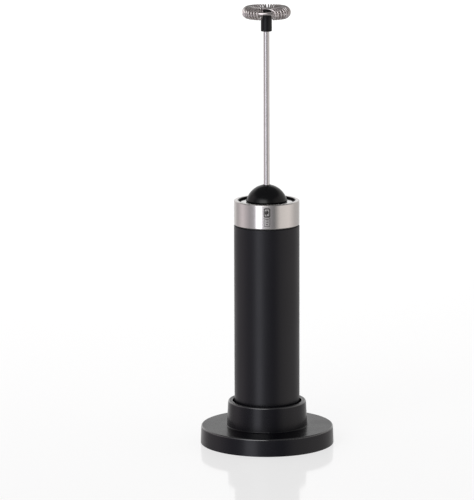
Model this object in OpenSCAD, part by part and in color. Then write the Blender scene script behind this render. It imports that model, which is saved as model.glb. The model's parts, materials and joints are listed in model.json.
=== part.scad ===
// Battery milk frother standing whisk-up in its round stand.
// Millimetres. +Z is up along the drive shaft, -Y is the front, and z = 0 is the table.

/* [Stand] */
// Diameter of the foot disc where it meets the table
foot_d = 68; // [66:0.5:72]
// Height of the top of the foot disc over the table
foot_h = 9.2; // [8.6:0.1:9.6]
// Height of the cup's rim over the foot disc
cup_h = 13; // [11:0.5:16]
// Wall of the cup at its rim
cup_wall = 2.3; // [1.8:0.1:2.6]

/* [Handle] */
// Outside diameter of the battery tube
tube_d = 33.2; // [32.8:0.1:33.6]
// Length of the battery tube
tube_len = 106.7; // [106.6:0.1:108]
// Travel of the push button
button_travel = 1.5; // [1:0.1:1.6]

/* [Head] */
// Height of the steel collar
collar_h = 12.45; // [12.2:0.05:13]
// Dark gap between the tube and the collar
seam = 0.5; // [0.5:0.1:0.8]
// Radius of the nose dome at its foot
dome_r = 10.45; // [10:0.05:11]
// Height of the nose dome over the deck plate
dome_h = 8.8; // [8.5:0.1:9.4]

/* [Whisk] */
// Diameter of the drive shaft
shaft_d = 3; // [3:0.1:3.1]
// Height of the middle of the whisk ring over the table
whisk_z = 221; // [200:0.1:230]
// Outside diameter of the whisk ring
whisk_d = 24.6; // [24.6:0.1:27]
// Outside diameter of one turn of the whisk coil
coil_d = 6.3; // [6.2:0.1:6.6]
// Diameter of the coil's wire
wire_d = 0.75; // [0.6:0.05:0.8]
// Angle round the ring from one turn of the coil to the next, in degrees
coil_pitch = 9; // [8.6:0.1:10]
// Diameter of the hub at the end of the shaft
hub_d = 5.6; // [5.4:0.1:6]

/* [Hidden] */
$fn = 64;
slip = 0.05;         // running clearance between pieces that turn or slide
lay = 0.02;          // gap left between pieces that lie on each other

// Stand
pad_h = 1;
plate_top = 2.2;
shell_lift = 0.25;   // the shell's lower edge over the table
foot_r = foot_d / 2;
foot_draft = 0.3;
foot_round = 0.8;
skin = 2;            // wall of the foot disc
seat_z = 6;          // the cup's seat, where the tube stands
seat_hole_r = 10.5;
cup_r = tube_d / 2 + 1;
cup_z = foot_h + cup_h;
cup_foot_r = cup_r + cup_wall + 0.65;
cup_round = 0.9;
fillet_r = 0.45;
recess_r = foot_r - 1.5;
weight_r = cup_r + 3;
stand_screw_r = 26.2;
stand_boss_r = 2.7;
stand_screw_angles = [90, 210, 330];

// Handle
tube_r = tube_d / 2;
bore_r = tube_r - 1.3;
tube_z = seat_z + tube_len;
floor_z = seat_z + 2;
key_w = 1.2;         // rib inside the tube that keys the chassis
button_r = 7;
button_z = seat_z - 1.8;
flange_z = floor_z + slip;
flange_top = flange_z + 1.15;
retainer_z = 12.8;
retainer_top = retainer_z + 1.2;
retainer_screw_r = 12;
retainer_screw_angles = [30, 150, 270];
stem_r = 2.5;
stem_top = 14.9;

// Head shell
collar_z = tube_z + seam;
collar_top = collar_z + collar_h;
collar_r = tube_r;
collar_wall = 1.1;
lip_r = collar_r - 1.95;
lip_t = 1.55;
deck_drop = 0.9;     // depth of the deck plate below the rim of the collar
deck_z = collar_top - deck_drop;
deck_t = 0.75;
deck_r = lip_r - 1.65;
neck_r = collar_r - collar_wall - slip;
neck_bore = neck_r - 1.35;
neck_z = collar_top - lip_t - 0.2;
bezel_floor_z = deck_z - 2.5;
dome_ball = (dome_r * dome_r + dome_h * dome_h) / (2 * dome_h);
dome_wall = 1.6;
dome_skirt = 0.9;
dome_top = deck_z + dome_h;
dome_spigot_r = 4.5;
dome_screw_r = 7.4;
dome_screw_angles = [90, 210, 330];
bush_r = 2.55;
bush_top = dome_top - 0.7;
bush_z = bush_top - 4.5;
seal_r = 3.45;
seal_z = deck_z - 2.2;

// Chassis
sled_r = bore_r - 0.2;
spigot_r = bore_r - 0.1;
spigot_z = 103;
rubber_z = 107.8;    // middle of the rubber ring
rubber_wire_r = 0.75;
rubber_r = bore_r - slip - rubber_wire_r;
wall_z = 17.5;       // the sled's lower end wall
wall_top = wall_z + 2;
bulkhead_z = 78.6;
bulkhead_top = bulkhead_z + 2.4;
wire_hole = [2.4, 10.5];
window_h = 2.6;
guide_z = 92;

// Cells and contacts
cell_r = 7.25;
cell_x = 7.4;
cell_z = 24;
cell_len = 50.5;
cell_top = cell_z + cell_len;
nub_r = 2.7;
nub_h = 1.3;
strip_t = 0.4;       // thickness of the contact strips
strip_in = 4.3;
strip_out = 11.4;
spring_wire_r = 0.25;

// Switch
switch_half = 4;
switch_z = wall_z - 0.9;
switch_top = wall_z + 3.2;
switch_flange = 5.4; // half length of the switch flange that is pressed into the sled
plunger_z = stem_top + 0.1;
plunger_head_z = 17;
plunger_head_top = 17.7;
terminal_t = 0.4;

// Motor
motor_r = 10.05;     // round sides of the motor can
motor_flat = 7.55;   // flat sides of the motor can
can_t = 0.5;
cap_z = 85;
can_z = cap_z + 4;
can_top = cap_z + 25;
nose_top = can_top + 1.7;
pocket_r = motor_r + 0.65;
pocket_flat = motor_flat + 0.65;
pocket_wall = 1.4;
bearing_r = 2.5;
tab_x = 6.5;
arbor_r = 1;
stack_z = 93;        // armature laminations
stack_top = 104;
stack_r = 6.6;
tooth_w = 2.2;
commutator_r = 2.1;
clamp_top = can_top + 1.4;
clamp_screw_x = 12;
coupling_r = 3.2;
coupling_z = 112.6;
coupling_top = 121.2;
joint_z = 116.3;     // where the two shafts meet inside the coupling

// Whisk
shaft_r = shaft_d / 2;
shaft_top = whisk_z - 4.5;
hub_r = hub_d / 2;
hub_z = whisk_z - 9.6;
hub_top = whisk_z + 1.9;
coil_r = (coil_d - wire_d) / 2;
ring_r = (whisk_d - coil_d) / 2;
coil_steps = 12;     // points of one turn
coil_ends = [-19, 24];  // degrees from the front where the two ends of the coil are joined
hoop_wire_r = 0.8;
hoop_lift = 0.4;     // height of the hoop over the middle of the coil
hoop_z = whisk_z + hoop_lift;
hoop_touch = 0.004;  // gap left where the hoop lies against the coil from within
hoop_reach = (coil_r - wire_d / 2) * cos(180 / coil_steps) - hoop_wire_r - hoop_touch;
hoop_r = ring_r + sqrt(hoop_reach * hoop_reach - hoop_lift * hoop_lift);
spoke_r = 0.6;
spoke_gap = 21;      // degrees of the ring between the two turns beside a spoke

black = "#1c1c1f";
steel = "#b9b6b4";
brass = "#c9a44b";
bronze = "#b08d57";
ivory = "#f2f0ea";

// ---- Shared shapes ----

// An upright round bar or hole
module post(r, z0, z1) {
    translate([0, 0, z0]) cylinder(r = r, h = z1 - z0);
}

// An upright ring from radius a to radius b
module ring(a, b, z0, z1) {
    difference() {
        post(b, z0, z1);
        post(a, z0 - 1, z1 + 1);
    }
}

// A box given by its low and high corners
module block(low, high) {
    translate(low) cube(high - low);
}

// Copies of the children at the given angles, at radius r
module around(r, angles) {
    for (a = angles) rotate([0, 0, a]) translate([r, 0, 0]) children();
}

// Copies of the children at x and at -x
module both_sides(x) {
    for (side = [-1, 1]) translate([side * x, 0, 0]) children();
}

// A round bar with two flats, the section of a small motor
module flatted(r, flat, z0, z1) {
    intersection() {
        post(r, z0, z1);
        block([-r - 1, -flat, z0], [r + 1, flat, z1]);
    }
}

// Rounds the outer upper corner at (x, z) of a profile that is chamfered there by r
module rounding(x, z, r) {
    translate([x - r, z - r]) circle(r);
}

// A cross-recessed screw: its head stands on z = 0 and its shank hangs below
module screw(head_r, head_h, shank_r, shank_len) {
    recess = [0.65 * head_r, 0.18];
    difference() {
        union() {
            post(head_r, 0, head_h);
            post(shank_r, -shank_len, head_h / 2);
        }
        for (turn = [0, 90]) rotate([0, 0, turn])
            block([-recess.x, -recess.y, head_h / 2], [recess.x, recess.y, head_h + 1]);
    }
}

function unit(v) = v / norm(v);

function tangent(path, i, closed) =
    let (n = len(path))
    closed ? unit(path[(i + 1) % n] - path[(i + n - 1) % n])
           : unit(path[min(i + 1, n - 1)] - path[max(i - 1, 0)]);

function section(centre, along, aside, r, sides) =
    let (u = unit(aside - (aside * along) * along), v = cross(along, u))
    [for (k = [0 : sides - 1]) centre + r * (cos(360 * k / sides) * u + sin(360 * k / sides) * v)];

// A round wire along a path. aside gives, for each point, a direction square to the path
module wire(path, aside, r, sides, closed = false) {
    n = len(path);
    points = [for (i = [0 : n - 1]) each section(path[i], tangent(path, i, closed), aside[i], r, sides)];
    walls = [for (i = [0 : closed ? n - 1 : n - 2], k = [0 : sides - 1])
        let (a = i * sides + k, b = i * sides + (k + 1) % sides,
             c = ((i + 1) % n) * sides + (k + 1) % sides, d = ((i + 1) % n) * sides + k)
        each [[a, d, c], [a, c, b]]];
    ends = closed ? [] : [[for (k = [0 : sides - 1]) k],
                          [for (k = [sides - 1 : -1 : 0]) (n - 1) * sides + k]];
    polyhedron(points, concat(walls, ends));
}

// A compression spring from z0 to z1 with nearly flat end turns, r_low wide below and r_high above
module spring(x, z0, z1, r_low, r_high, turns) {
    steps = 12;
    rise = z1 - z0 - 2 * spring_wire_r;
    path = [for (i = [0 : turns * steps])
        let (t = i / (turns * steps), a = 360 * turns * t, r = r_low + (r_high - r_low) * t)
        [x + r * cos(a), r * sin(a), z0 + spring_wire_r + rise * t * t * (3 - 2 * t)]];
    aside = [for (i = [0 : turns * steps]) [cos(360 * i / steps), sin(360 * i / steps), 0]];
    wire(path, aside, spring_wire_r, 6);
}

// ---- Stand ----

module stand_outside() {
    rim_r = cup_r + cup_wall;
    top_r = foot_r - foot_draft;
    inner_round = 0.5;
    polygon([[0, plate_top], [recess_r, plate_top], [recess_r, shell_lift], [foot_r, shell_lift],
             [top_r, foot_h - foot_round], [top_r - foot_round, foot_h], [cup_foot_r, foot_h],
             [rim_r, cup_z - cup_round], [rim_r - cup_round, cup_z], [cup_r + inner_round, cup_z],
             [cup_r, cup_z - inner_round], [0, cup_z - inner_round]]);
    rounding(top_r, foot_h, foot_round);
    rounding(rim_r, cup_z, cup_round);
    translate([cup_r + inner_round, cup_z - inner_round]) circle(inner_round);
    difference() {
        translate([cup_foot_r - 0.1, foot_h - 0.1]) square(fillet_r + 0.1);
        translate([cup_foot_r + fillet_r, foot_h + fillet_r]) circle(fillet_r);
    }
}

module stand_outline() {
    seat_rib_r = seat_hole_r + 1.5;
    difference() {
        stand_outside();
        translate([0, seat_z - lay]) square([cup_r, cup_z]);
        square([seat_hole_r, seat_z]);
        translate([seat_rib_r, 0]) square([cup_r - 0.5 - seat_rib_r, seat_z - 2.5]);
        translate([weight_r, 0]) square([recess_r - 0.6 - weight_r, foot_h - skin]);
    }
}

module stand_shell() {
    color(black) difference() {
        union() {
            rotate_extrude() stand_outline();
            around(stand_screw_r, stand_screw_angles) post(stand_boss_r, plate_top + 0.1, foot_h - 1.5);
        }
        around(stand_screw_r, stand_screw_angles) post(0.85, 0, foot_h - 1.1);
    }
}

module stand_weight() {
    color("dimgray") difference() {
        ring(weight_r + 0.2, recess_r - 0.9, plate_top + 0.1, foot_h - skin - 0.1);
        around(stand_screw_r, stand_screw_angles) post(stand_boss_r + 0.4, 0, foot_h);
    }
}

module stand_bottom_plate() {
    color(black) difference() {
        post(recess_r - 0.1, pad_h, plate_top - lay);
        around(stand_screw_r, stand_screw_angles) {
            post(1.1, 0, plate_top + 1);
            translate([0, 0, pad_h - 0.01]) cylinder(r1 = 2.15, r2 = 1.1, h = 1.05);
        }
    }
}

module stand_screws() {
    color(steel) around(stand_screw_r, stand_screw_angles) difference() {
        union() {
            translate([0, 0, pad_h + 0.05]) cylinder(r1 = 2, r2 = 0.95, h = 1);
            post(0.8, pad_h + 0.3, foot_h - 1.4);
        }
        for (turn = [0, 90]) rotate([0, 0, turn]) block([-1.2, -0.2, 0], [1.2, 0.2, pad_h + 0.45]);
    }
}

module stand_foot_pad() {
    color("#2b2b2b") post(recess_r - 1, 0, pad_h - lay);
}

// ---- Handle ----

module tube_outline() {
    foot_edge = 0.8;
    top_edge = 0.3;
    difference() {
        union() {
            polygon([[0, seat_z], [tube_r - foot_edge, seat_z], [tube_r, seat_z + foot_edge],
                     [tube_r, tube_z - top_edge], [tube_r - top_edge, tube_z], [0, tube_z]]);
            translate([tube_r - foot_edge, seat_z + foot_edge]) circle(foot_edge);
            rounding(tube_r, tube_z, top_edge);
        }
        translate([0, floor_z]) square([bore_r, tube_len]);
        square([button_r + 0.2, floor_z + 1]);
    }
}

module handle_tube() {
    color(black) {
        rotate_extrude() tube_outline();
        difference() {
            around(retainer_screw_r, retainer_screw_angles) post(2, floor_z - 0.5, retainer_z - lay);
            around(retainer_screw_r, retainer_screw_angles) post(0.65, floor_z + 0.6, retainer_z + 1);
        }
        block([-key_w / 2, bore_r - 1, wall_z - 1], [key_w / 2, bore_r + 0.4, spigot_z - 3]);
    }
}

module button_retainer() {
    color(ivory) difference() {
        post(bore_r - 0.4, retainer_z, retainer_top);
        post(stem_r + 0.3, 0, retainer_top + 1);
        around(retainer_screw_r, retainer_screw_angles) post(0.9, 0, retainer_top + 1);
    }
}

module retainer_screws() {
    color(steel) around(retainer_screw_r, retainer_screw_angles)
        translate([0, 0, retainer_top + lay]) screw(1.5, 1, 0.6, 5.2);
}

module end_button() {
    edge = 0.9;
    color("#8d8b89") rotate_extrude() {
        polygon([[0, button_z], [button_r - edge, button_z], [button_r, button_z + edge],
                 [button_r, flange_z], [button_r + 1.4, flange_z], [button_r + 1.4, flange_top],
                 [stem_r, flange_top], [stem_r, stem_top], [0, stem_top]]);
        translate([button_r - edge, button_z + edge]) circle(edge);
    }
}

// Its coils close up to less than the room left when the button is pushed right in
module button_spring() {
    color(steel) spring(0, flange_top + lay, retainer_z - lay, 4.6, 3.6, 3);
}

// ---- Head shell ----

module collar() {
    low_edge = 0.5;
    top_edge = 0.6;
    color(steel) rotate_extrude() difference() {
        union() {
            polygon([[0, collar_z], [collar_r - low_edge, collar_z], [collar_r, collar_z + low_edge],
                     [collar_r, collar_top - top_edge], [collar_r - top_edge, collar_top],
                     [0, collar_top]]);
            rounding(collar_r, collar_top, top_edge);
            translate([collar_r - low_edge, collar_z + low_edge]) circle(low_edge);
        }
        square([collar_r - collar_wall, collar_top - lip_t]);
        square([lip_r, collar_top + 1]);
    }
}

// The bezel leaves a dark trough between the deck plate and a thin liner inside the collar's rim
module head_bezel() {
    skirt_z = deck_z - 9;
    out = neck_bore - 0.1;
    edge = lip_r - slip;
    liner = 0.45;
    liner_top = collar_top - 0.1;
    trough_z = deck_z - 0.25;
    color(black) difference() {
        rotate_extrude() polygon([
            [dome_spigot_r + 0.2, bezel_floor_z], [out - 1.3, bezel_floor_z], [out - 1.3, skirt_z],
            [out, skirt_z], [out, neck_z + slip], [edge, neck_z + slip], [edge, liner_top],
            [edge - liner, liner_top], [edge - liner, trough_z], [deck_r + slip, trough_z],
            [deck_r + slip, deck_z - deck_t - lay], [dome_spigot_r + 0.2, deck_z - deck_t - lay]]);
        around(dome_screw_r, dome_screw_angles) post(0.8, 0, deck_z);
    }
}

module deck_plate() {
    color("#e6e4e2") difference() {
        ring(dome_spigot_r + 0.4, deck_r, deck_z - deck_t, deck_z - lay);
        around(dome_screw_r, dome_screw_angles) post(0.8, 0, deck_z);
    }
}

// A cap cut from a ball, with a short upright skirt, standing on the deck
module dome_solid(shrink, skirt) {
    intersection() {
        translate([0, 0, dome_top - dome_ball]) sphere(r = dome_ball - shrink);
        post(dome_r - shrink, deck_z, dome_top + 1);
    }
    post(dome_r - shrink, deck_z, deck_z + skirt);
}

module nose_dome() {
    color(black) difference() {
        union() {
            difference() {
                dome_solid(0, dome_skirt);
                translate([0, 0, -0.01]) dome_solid(dome_wall, 0.01);
            }
            intersection() {
                union() {
                    post(dome_spigot_r, deck_z, dome_top);
                    around(dome_screw_r, dome_screw_angles) post(2, deck_z, dome_top);
                }
                dome_solid(0.4, 0.2);
            }
            post(dome_spigot_r, bezel_floor_z + 0.1, deck_z + 0.5);
        }
        post(shaft_r + 0.6, 0, dome_top + 1);
        post(bush_r + slip, 0, bush_top);
        post(seal_r + slip, 0, deck_z + 0.7);
        around(dome_screw_r, dome_screw_angles) post(0.65, 0, deck_z + 3.4);
    }
}

module front_bush() {
    color(bronze) ring(shaft_r + slip, bush_r, bush_z, bush_top - lay);
}

module shaft_seal() {
    color("#5b3a32") ring(shaft_r + slip, seal_r, seal_z, seal_z + 2);
}

module dome_screws() {
    color(steel) around(dome_screw_r, dome_screw_angles)
        translate([0, 0, bezel_floor_z - lay]) mirror([0, 0, 1]) screw(1.6, 1, 0.6, 5.6);
}

// ---- Chassis ----

// Section of the battery sled: a spine behind the cells and a rib between them
module sled_section() {
    spine_y = 5;
    rib_y = 3;
    difference() {
        union() {
            intersection() {
                difference() {
                    circle(sled_r);
                    circle(sled_r - 1.5);
                }
                translate([-sled_r, spine_y]) square([2 * sled_r, sled_r]);
            }
            translate([-0.9, rib_y]) square([1.8, sled_r - rib_y - 0.4]);
        }
        for (side = [-1, 1]) translate([side * cell_x, 0]) circle(cell_r + 0.15);
    }
}

module chassis_outside() {
    post(sled_r, wall_z, wall_top);
    translate([0, 0, wall_top - 0.01]) linear_extrude(bulkhead_z - wall_top + 0.02) sled_section();
    post(sled_r, bulkhead_z, bulkhead_top);
    flatted(pocket_r + pocket_wall, pocket_flat + pocket_wall, bulkhead_top - 1, spigot_z + 1);
    post(sled_r, guide_z, guide_z + 1.6);
    post(spigot_r, spigot_z, tube_z + 0.06);
    post(tube_r - 0.7, tube_z + slip, collar_z - slip);
    post(neck_r, collar_z - 0.1, neck_z);
}

module chassis() {
    groove = [rubber_r - rubber_wire_r - slip, rubber_wire_r + 0.1];
    key_slot = key_w / 2 + 0.3;
    switch_hole = switch_half + 0.1;
    flange_hole = switch_flange + 0.1;
    color("#2a2a2d") difference() {
        chassis_outside();
        flatted(pocket_r, pocket_flat, bulkhead_top, can_top + 1);
        post(neck_bore, can_top, neck_z + 1);
        ring(groove.x, sled_r + 2, rubber_z - groove.y, rubber_z + groove.y);
        block([-switch_hole, -switch_hole, 0], [switch_hole, switch_hole, wall_top + 1]);
        block([-switch_hole, -flange_hole, wall_top], [switch_hole, flange_hole, switch_top + 0.1]);
        both_sides(wire_hole.x) translate([0, wire_hole.y, 0]) post(0.9, bulkhead_z - 1, bulkhead_top + 1);
        both_sides(clamp_screw_x) post(0.7, can_top - 5, can_top + 1);
        block([-4.5, pocket_flat - 1, bulkhead_top], [4.5, sled_r, bulkhead_top + window_h]);
        block([-key_slot, bore_r - 1.5, 0], [key_slot, sled_r + 1, spigot_z - 2]);
    }
}

module sealing_ring() {
    color("#7a2f2a") translate([0, 0, rubber_z]) rotate_extrude() translate([rubber_r, 0]) circle(rubber_wire_r);
}

module motor_clamp() {
    color(steel) difference() {
        post(neck_bore - 0.2, can_top + lay, clamp_top);
        post(coupling_r + 0.1, 0, clamp_top + 1);
        both_sides(clamp_screw_x) post(0.9, 0, clamp_top + 1);
    }
}

module clamp_screws() {
    color(steel) both_sides(clamp_screw_x) translate([0, 0, clamp_top + lay]) screw(1.5, 1, 0.65, 5.8);
}

// ---- Motor ----

module motor_cushion() {
    color("#444444") difference() {
        flatted(pocket_r - slip, pocket_flat - slip, can_z + 1, can_top - 2);
        flatted(motor_r + lay, motor_flat + lay, 0, can_top + 1);
    }
}

module motor_can() {
    color(steel) difference() {
        union() {
            flatted(motor_r, motor_flat, can_z, can_top);
            post(bearing_r + 0.6, can_top - 1, nose_top);
        }
        flatted(motor_r - can_t, motor_flat - can_t, can_z - 1, can_top - can_t);
        post(bearing_r, can_top - 2, nose_top - 0.4);
        post(arbor_r + 0.3, can_top - 2, nose_top + 1);
    }
}

module motor_magnets() {
    side_y = motor_flat - can_t - 0.3;
    color("#3a3a3c") for (turn = [0, 180]) rotate([0, 0, turn]) intersection() {
        ring(stack_r + 0.6, motor_r - can_t - lay, can_z + 3, can_top - 4);
        block([2, -side_y, 0], [motor_r, side_y, can_top]);
    }
}

module motor_end_cap() {
    plug = can_t + 0.04;
    color(ivory) difference() {
        union() {
            flatted(motor_r, motor_flat, cap_z, can_z - lay);
            flatted(motor_r - plug, motor_flat - plug, can_z - 0.5, can_z + 2);
            post(bearing_r + 0.6, cap_z - 1.7, cap_z + 1);
        }
        flatted(motor_r - 1.7, motor_flat - 1.7, cap_z + 1.2, can_z + 5);
        post(bearing_r, cap_z - 1.3, cap_z + 3);
        post(arbor_r + 0.3, 0, cap_z + 3);
        both_sides(tab_x) block([-1.1, -0.3, 0], [1.1, 0.3, can_z]);
    }
}

module motor_terminals() {
    half_w = 1;
    half_t = 0.2;
    color(brass) both_sides(tab_x) {
        difference() {
            block([-half_w, -half_t, cap_z - 3], [half_w, half_t, cap_z + 1.6]);
            translate([0, 0, cap_z - 1.9]) rotate([90, 0, 0]) cylinder(r = 0.5, h = 4, center = true);
        }
        block([-half_w, -half_t, cap_z + 1.25], [half_w, 3, cap_z + 1.6]);
    }
}

module motor_brushes() {
    low = cap_z + 1.62;
    high = cap_z + 3.2;
    color(brass) for (side = [-1, 1]) {
        x = side * (commutator_r + slip + 0.35);
        arm = side * (tab_x - 2);
        block([x - 0.35, -3, low], [x + 0.35, 3, high]);
        block([arm - 2.35, 2.6, low], [arm + 2.35, 3, high]);
    }
}

module motor_front_bush() {
    color(bronze) ring(arbor_r + slip, bearing_r - lay, can_top - 0.9, nose_top - 0.42);
}

module motor_rear_bush() {
    color(bronze) ring(arbor_r + slip, bearing_r - lay, cap_z - 1.28, cap_z + 1);
}

module motor_arbor() {
    color(steel) post(arbor_r, cap_z - 1.25, joint_z - 0.1);
}

module armature_core() {
    tip_in = stack_r - 1.3;
    color("#77787c") difference() {
        union() {
            post(2.6, stack_z, stack_top);
            for (turn = [0, 120, 240]) rotate([0, 0, turn]) {
                block([0, -tooth_w / 2, stack_z], [stack_r - 0.6, tooth_w / 2, stack_top]);
                intersection() {
                    ring(tip_in, stack_r, stack_z, stack_top);
                    linear_extrude(stack_top) polygon([[0, 0], [10, -8.8], [10, 8.8]]);
                }
            }
        }
        post(arbor_r + 0.01, 0, stack_top + 1);
    }
}

module armature_windings() {
    slot = tooth_w / 2 + slip;
    overhang = 1.2;
    color("#a4552a") for (turn = [0, 120, 240]) rotate([0, 0, turn]) difference() {
        block([3.1, -2.1, stack_z - overhang], [4.8, 2.1, stack_top + overhang]);
        block([0, -slot, stack_z - slip], [stack_r, slot, stack_top + slip]);
    }
}

module commutator() {
    color("#b0723a") ring(arbor_r + 0.01, commutator_r, cap_z + 1.4, can_z + 0.6);
}

// ---- Power ----

// One AA cell, its positive nub at the top or at the bottom
module cell(nub_up) {
    can_low = nub_up ? cell_z : cell_z + nub_h;
    nub_low = nub_up ? cell_top - nub_h - 0.1 : cell_z;
    post(cell_r, can_low, can_low + cell_len - nub_h);
    post(nub_r, nub_low, nub_low + nub_h + 0.1);
}

module battery_left() {
    color("#3f6f8f") translate([-cell_x, 0, 0]) cell(true);
}

module battery_right() {
    color("#3f6f8f") translate([cell_x, 0, 0]) cell(false);
}

// A strip bent into a bridge, between heights z0 and z1, open to front and back
module bridge(x, z0, z1) {
    half_w = 2.4;
    difference() {
        block([x - half_w, -2.8, z0], [x + half_w, 2.8, z1]);
        block([x - half_w + strip_t, -4, z0 + strip_t], [x + half_w - strip_t, 4, z1 - strip_t]);
    }
}

module negative_plate() {
    low = wall_top + lay;
    color(steel) {
        block([-strip_out, -4, low], [-strip_in, 4, low + strip_t]);
        block([-strip_in - strip_t, 3.5, low], [-strip_in, 6, low + 3]);
    }
}

module negative_spring() {
    color(steel) spring(-cell_x, wall_top + strip_t + 2 * lay, cell_z - lay, 2.9, 1.8, 4);
}

module positive_contact() {
    low = wall_top + lay;
    color(steel) {
        block([strip_in, -4, low], [strip_out, 4, low + strip_t]);
        bridge(cell_x, low, cell_z - lay);
    }
}

module link_plate() {
    top = bulkhead_z - lay;
    color(steel) {
        block([-strip_out, -4, top - strip_t], [strip_out, 2.8, top]);
        bridge(-cell_x, cell_top + lay, top);
    }
}

module link_spring() {
    color(steel) spring(cell_x, cell_top + lay, bulkhead_z - strip_t - 2 * lay, 1.8, 2.5, 4);
}

module switch_body() {
    inner_top = plunger_head_top + button_travel + 0.1;
    color("#222222") difference() {
        union() {
            block([-switch_half, -switch_half, switch_z], [switch_half, switch_half, switch_top]);
            block([-switch_half, -switch_flange, wall_top + lay], [switch_half, switch_flange, switch_top]);
        }
        post(1.5, 0, plunger_head_z);
        post(2.2, plunger_head_z - 0.1, inner_top);
    }
}

module switch_plunger() {
    color(ivory) {
        post(1.4, plunger_z, plunger_head_top);
        post(2.1, plunger_head_z, plunger_head_top);
    }
}

module switch_terminals() {
    low = switch_top + lay;
    color(brass) {
        block([1.9, -0.6, low], [cell_x - 2.4 - lay, 0.6, low + terminal_t]);
        block([1.9, 2, low], [2.9, 2 + terminal_t, low + 2.2]);
    }
}

// The leads' routes, with hand-chosen points from the sled's foot to the motor's terminals
red_route = [[2.4, 2.5, 22.2], [2.4, 5.5, 22], [2.4, 9, 22.5], [2.4, 10.5, 27], [2.4, 10.5, 50],
             [2.4, 10.5, 76], [2.4, 10.5, 82.2], [4.4, 6.5, 82.6], [6.5, 3, 83.1], [6.5, 0.3, 83.1]];
black_route = [[-3.6, 4.4, 22], [-3.2, 7, 22], [-2.4, 9.2, 23], [-2.4, 10.5, 27], [-2.4, 10.5, 50],
               [-2.4, 10.5, 76], [-2.4, 10.5, 82.2], [-4.4, 6.5, 82.6], [-6.5, 3, 83.1], [-6.5, 0.3, 83.1]];

// Eases a route by cutting each of its corners
function eased(points) = concat([points[0]],
    [for (i = [0 : len(points) - 2])
        each [points[i] * 0.75 + points[i + 1] * 0.25, points[i] * 0.25 + points[i + 1] * 0.75]],
    [points[len(points) - 1]]);

module lead(route) {
    path = eased(eased(route));
    wire(path, [for (p = path) [1, 0.2, 0.1]], 0.55, 8);
}

module wire_red() {
    color("#a02020") lead(red_route);
}

module wire_black() {
    color("#202020") lead(black_route);
}

// ---- Whisk ----

module shaft_coupling() {
    color("#8d8b89") difference() {
        ring(arbor_r + 0.01, coupling_r, coupling_z, coupling_top);
        post(shaft_r + 0.01, joint_z, coupling_top + 1);
    }
}

module whisk_shaft() {
    color(steel) post(shaft_r, joint_z + 0.1, shaft_top);
}

module whisk_hub() {
    low_edge = 0.4;
    top_edge = 0.5;
    color(black) difference() {
        rotate_extrude() {
            polygon([[0, hub_z], [hub_r - low_edge, hub_z], [hub_r, hub_z + low_edge],
                     [hub_r, hub_top - top_edge], [hub_r - top_edge, hub_top], [0, hub_top]]);
            translate([hub_r - low_edge, hub_z + low_edge]) circle(low_edge);
            rounding(hub_r, hub_top, top_edge);
        }
        post(shaft_r + 0.01, 0, shaft_top + 0.1);
        translate([0, 0, hoop_z]) rotate([0, 90, 0]) cylinder(r = spoke_r + 0.01, h = 4 * hub_r, center = true);
    }
}

module whisk_hoop() {
    color(steel) translate([0, 0, hoop_z]) {
        rotate_extrude() translate([hoop_r, 0]) circle(hoop_wire_r);
        rotate([0, 90, 0]) cylinder(r = spoke_r, h = 2 * hoop_r, center = true);
    }
}

// The coil goes round the ring in runs: [first angle from the front, last angle, number of turns].
// The first run is one stretched turn that joins the two ends, and a spoke passes through each gap.
function even_run(a, b) = [a, b, round((b - a) / coil_pitch)];
right_gap = [90 - spoke_gap / 2, 90 + spoke_gap / 2];
left_gap = [270 - spoke_gap / 2, 270 + spoke_gap / 2];
coil_runs = [[coil_ends[0], coil_ends[1], 1], even_run(coil_ends[1], right_gap[0]),
             [right_gap[0], right_gap[1], 1], even_run(right_gap[1], left_gap[0]),
             [left_gap[0], left_gap[1], 1], even_run(left_gap[1], 360 + coil_ends[0])];
coil_turns = [for (run = coil_runs, k = [0 : run[2] - 1])
    let (span = (run[1] - run[0]) / run[2]) [run[0] + k * span, span]];

// The share of its span that a turn has covered at t. The stretched turn crosses while over the top
function share(turn, t) =
    let (s = max(0, min(1, (t - 0.08) / 0.36)))
    turn == 0 ? 0.14 * t + 0.86 * s * s * (3 - 2 * s) : t;

// Each turn starts on the ring's inner side and goes over the top: its angle round the ring and up from it
coil_angles = [for (turn = [0 : len(coil_turns) - 1], i = [0 : coil_steps - 1])
    let (t = i / coil_steps) [coil_turns[turn][0] + coil_turns[turn][1] * share(turn, t) - 90, 180 - 360 * t]];

// From the middle of the coil's tube outwards, for one point of the coil
function outward(angles) = [cos(angles[1]) * cos(angles[0]), cos(angles[1]) * sin(angles[0]), sin(angles[1])];

module whisk_coil() {
    aside = [for (a = coil_angles) outward(a)];
    path = [for (a = coil_angles)
        [ring_r * cos(a[0]), ring_r * sin(a[0]), whisk_z] + coil_r * outward(a)];
    color(steel) wire(path, aside, wire_d / 2, 6, closed = true);
}

stand_shell();
stand_weight();
stand_bottom_plate();
stand_screws();
stand_foot_pad();
handle_tube();
button_retainer();
retainer_screws();
end_button();
button_spring();
collar();
head_bezel();
deck_plate();
nose_dome();
front_bush();
shaft_seal();
dome_screws();
chassis();
sealing_ring();
motor_clamp();
clamp_screws();
motor_cushion();
motor_can();
motor_magnets();
motor_end_cap();
motor_terminals();
motor_brushes();
motor_front_bush();
motor_rear_bush();
battery_left();
battery_right();
negative_plate();
negative_spring();
positive_contact();
link_plate();
link_spring();
switch_body();
switch_terminals();
switch_plunger();
wire_red();
wire_black();
motor_arbor();
armature_core();
armature_windings();
commutator();
shaft_coupling();
whisk_shaft();
whisk_hub();
whisk_hoop();
whisk_coil();
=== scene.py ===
"""Looks of a battery milk frother in its round stand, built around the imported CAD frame.

Lengths are in metres in the frame's own axes: +Z is up along the drive shaft and -Y is the front.
Places come from the frame. The few sizes that it can't give are the part's own, named below.
"""
import json
from math import cos, pi, radians, sin

import bpy
from mathutils import Matrix, Vector


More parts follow.
